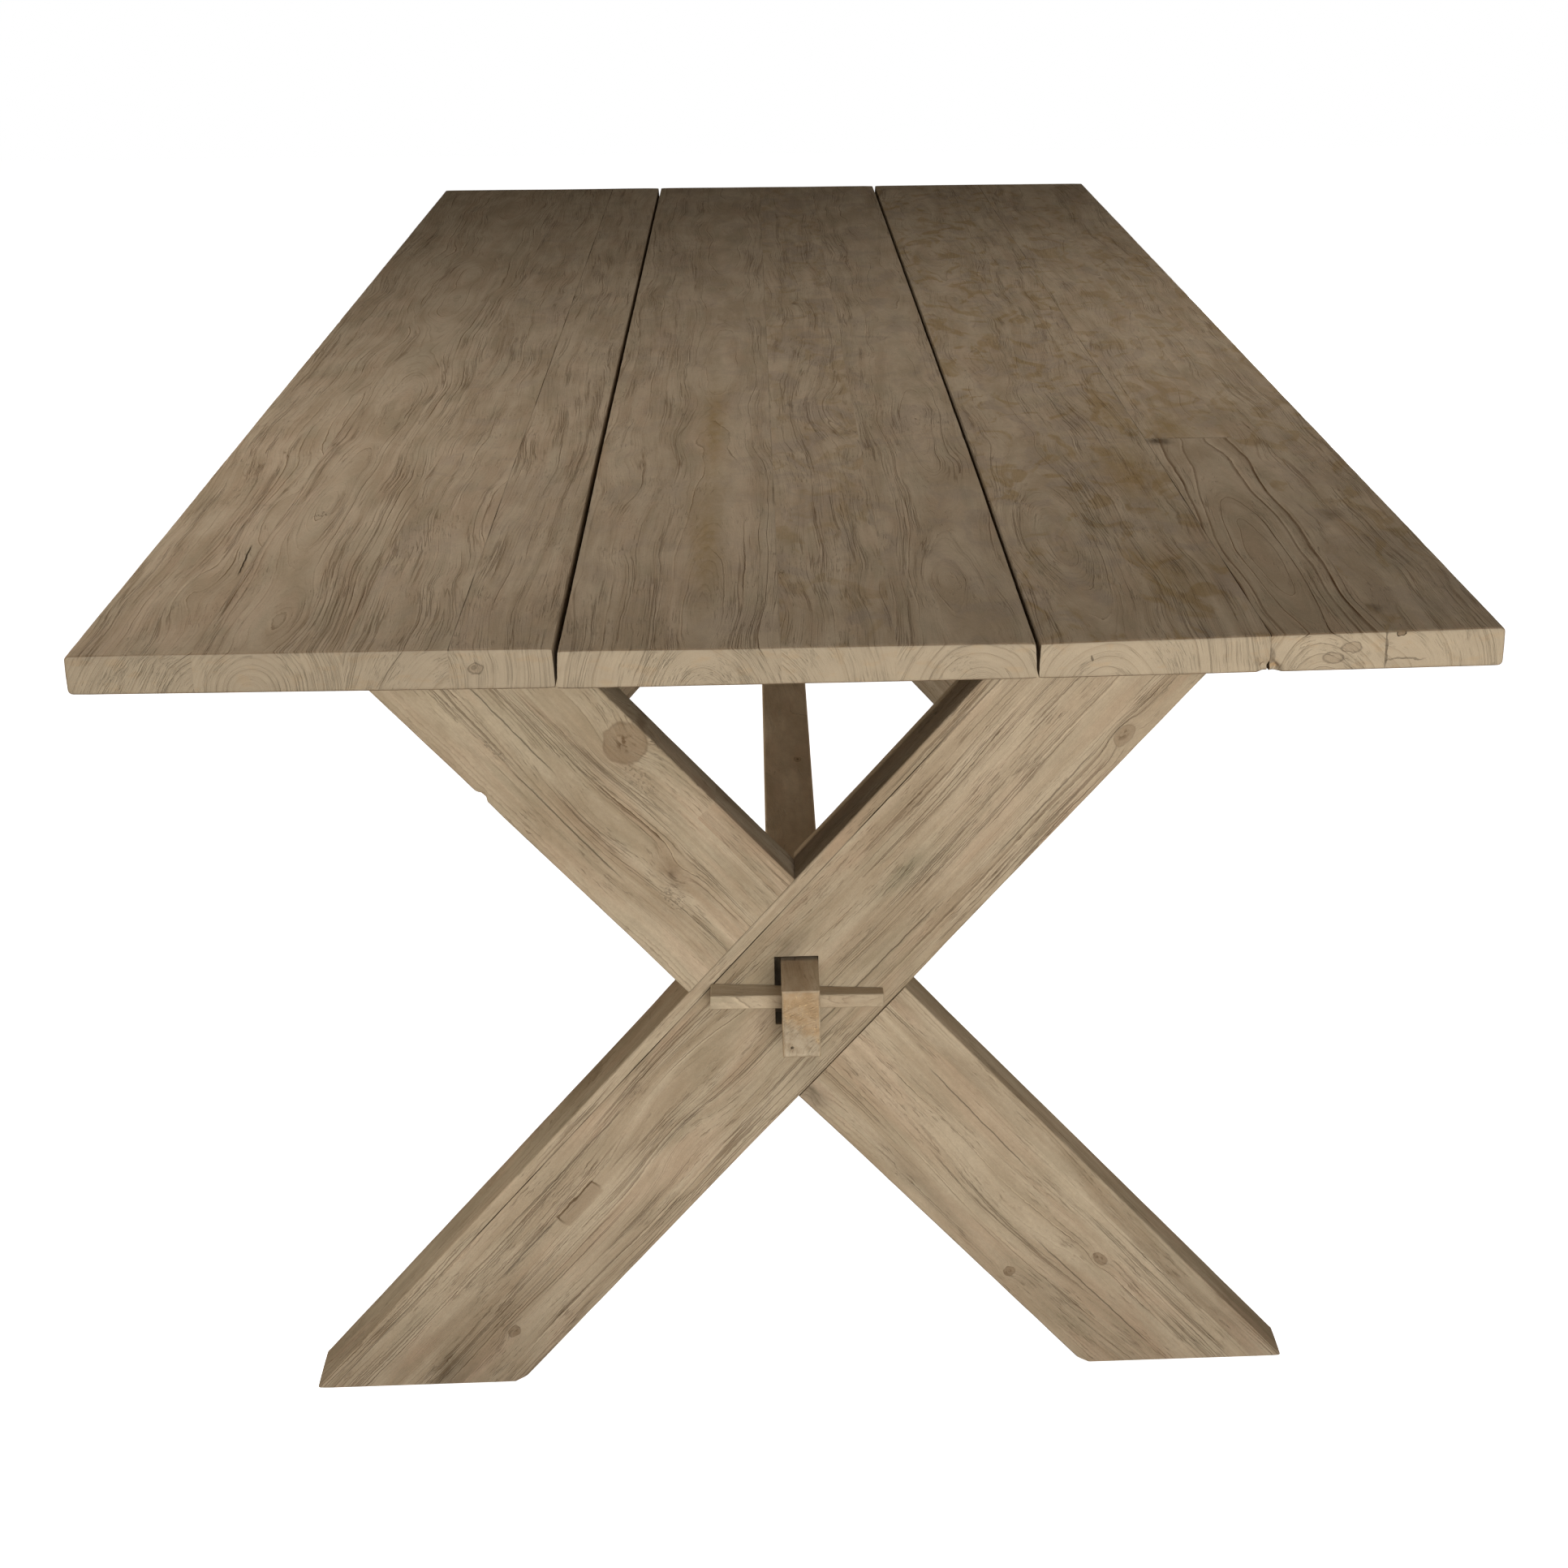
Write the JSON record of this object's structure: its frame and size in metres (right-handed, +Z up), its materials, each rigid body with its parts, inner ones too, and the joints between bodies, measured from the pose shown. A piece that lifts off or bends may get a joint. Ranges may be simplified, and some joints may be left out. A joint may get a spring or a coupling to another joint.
{
  "type": "sawbuck table",
  "caption": "Trestle dining table: an edge-glued plank top on X-shaped, half-lapped trestles, tied by a stretcher whose through tenons are locked by tapered wedges.",
  "frame": {"origin": "on the floor under the middle of the table", "axes": "+Z up, +Y along the table's length towards the rear trestle, +X to the right when looking along +Y from the front end"},
  "size_m": [1, 2.34, 0.765],
  "materials": {
    "top_wood": "weathered, thin satin wax",
    "leg_wood": "weathered, sanded, matte",
    "rail_wood": "sawn, matte",
    "stretcher_wood": "weathered, sanded, matte",
    "wedge_wood": "sanded, matte",
    "screw_steel": "zinc plated"
  },
  "bodies": {
    "table": {"plank_1_stave_1": "top_wood", "plank_1_stave_2": "top_wood", "plank_1_stave_3": "top_wood", "plank_1_stave_4": "top_wood", "plank_2_stave_1": "top_wood", "plank_2_stave_2": "top_wood", "plank_2_stave_3": "top_wood", "plank_3_stave_1": "top_wood", "plank_3_stave_2_front": "top_wood", "plank_3_stave_2_rear": "top_wood", "plank_3_stave_3": "top_wood", "front_rail": "rail_wood", "middle_rail": "rail_wood", "rear_rail": "rail_wood", "front_rail_screws": "screw_steel", "middle_rail_screws": "screw_steel", "rear_rail_screws": "screw_steel", "front_leg_over": "leg_wood", "front_leg_over_edge_strip": "leg_wood", "front_leg_under": "leg_wood", "front_leg_under_upper_strip": "leg_wood", "front_leg_under_lower_strip": "leg_wood", "rear_leg_over": "leg_wood", "rear_leg_over_edge_strip": "leg_wood", "rear_leg_under": "leg_wood", "rear_leg_under_upper_strip": "leg_wood", "rear_leg_under_lower_strip": "leg_wood", "stretcher": "stretcher_wood"},
    "front_wedge": {"front_wedge": "wedge_wood"},
    "rear_wedge": {"rear_wedge": "wedge_wood"}
  },
  "joints": [
    {"name": "front_wedge_slide", "type": "slide", "parent": "table", "child": "front_wedge", "axis": [-0.9986, 0, 0.0523], "range_m": [0, 0.09]},
    {"name": "rear_wedge_slide", "type": "slide", "parent": "table", "child": "rear_wedge", "axis": [0.9986, 0, 0.0523], "range_m": [0, 0.09]}
  ]
}
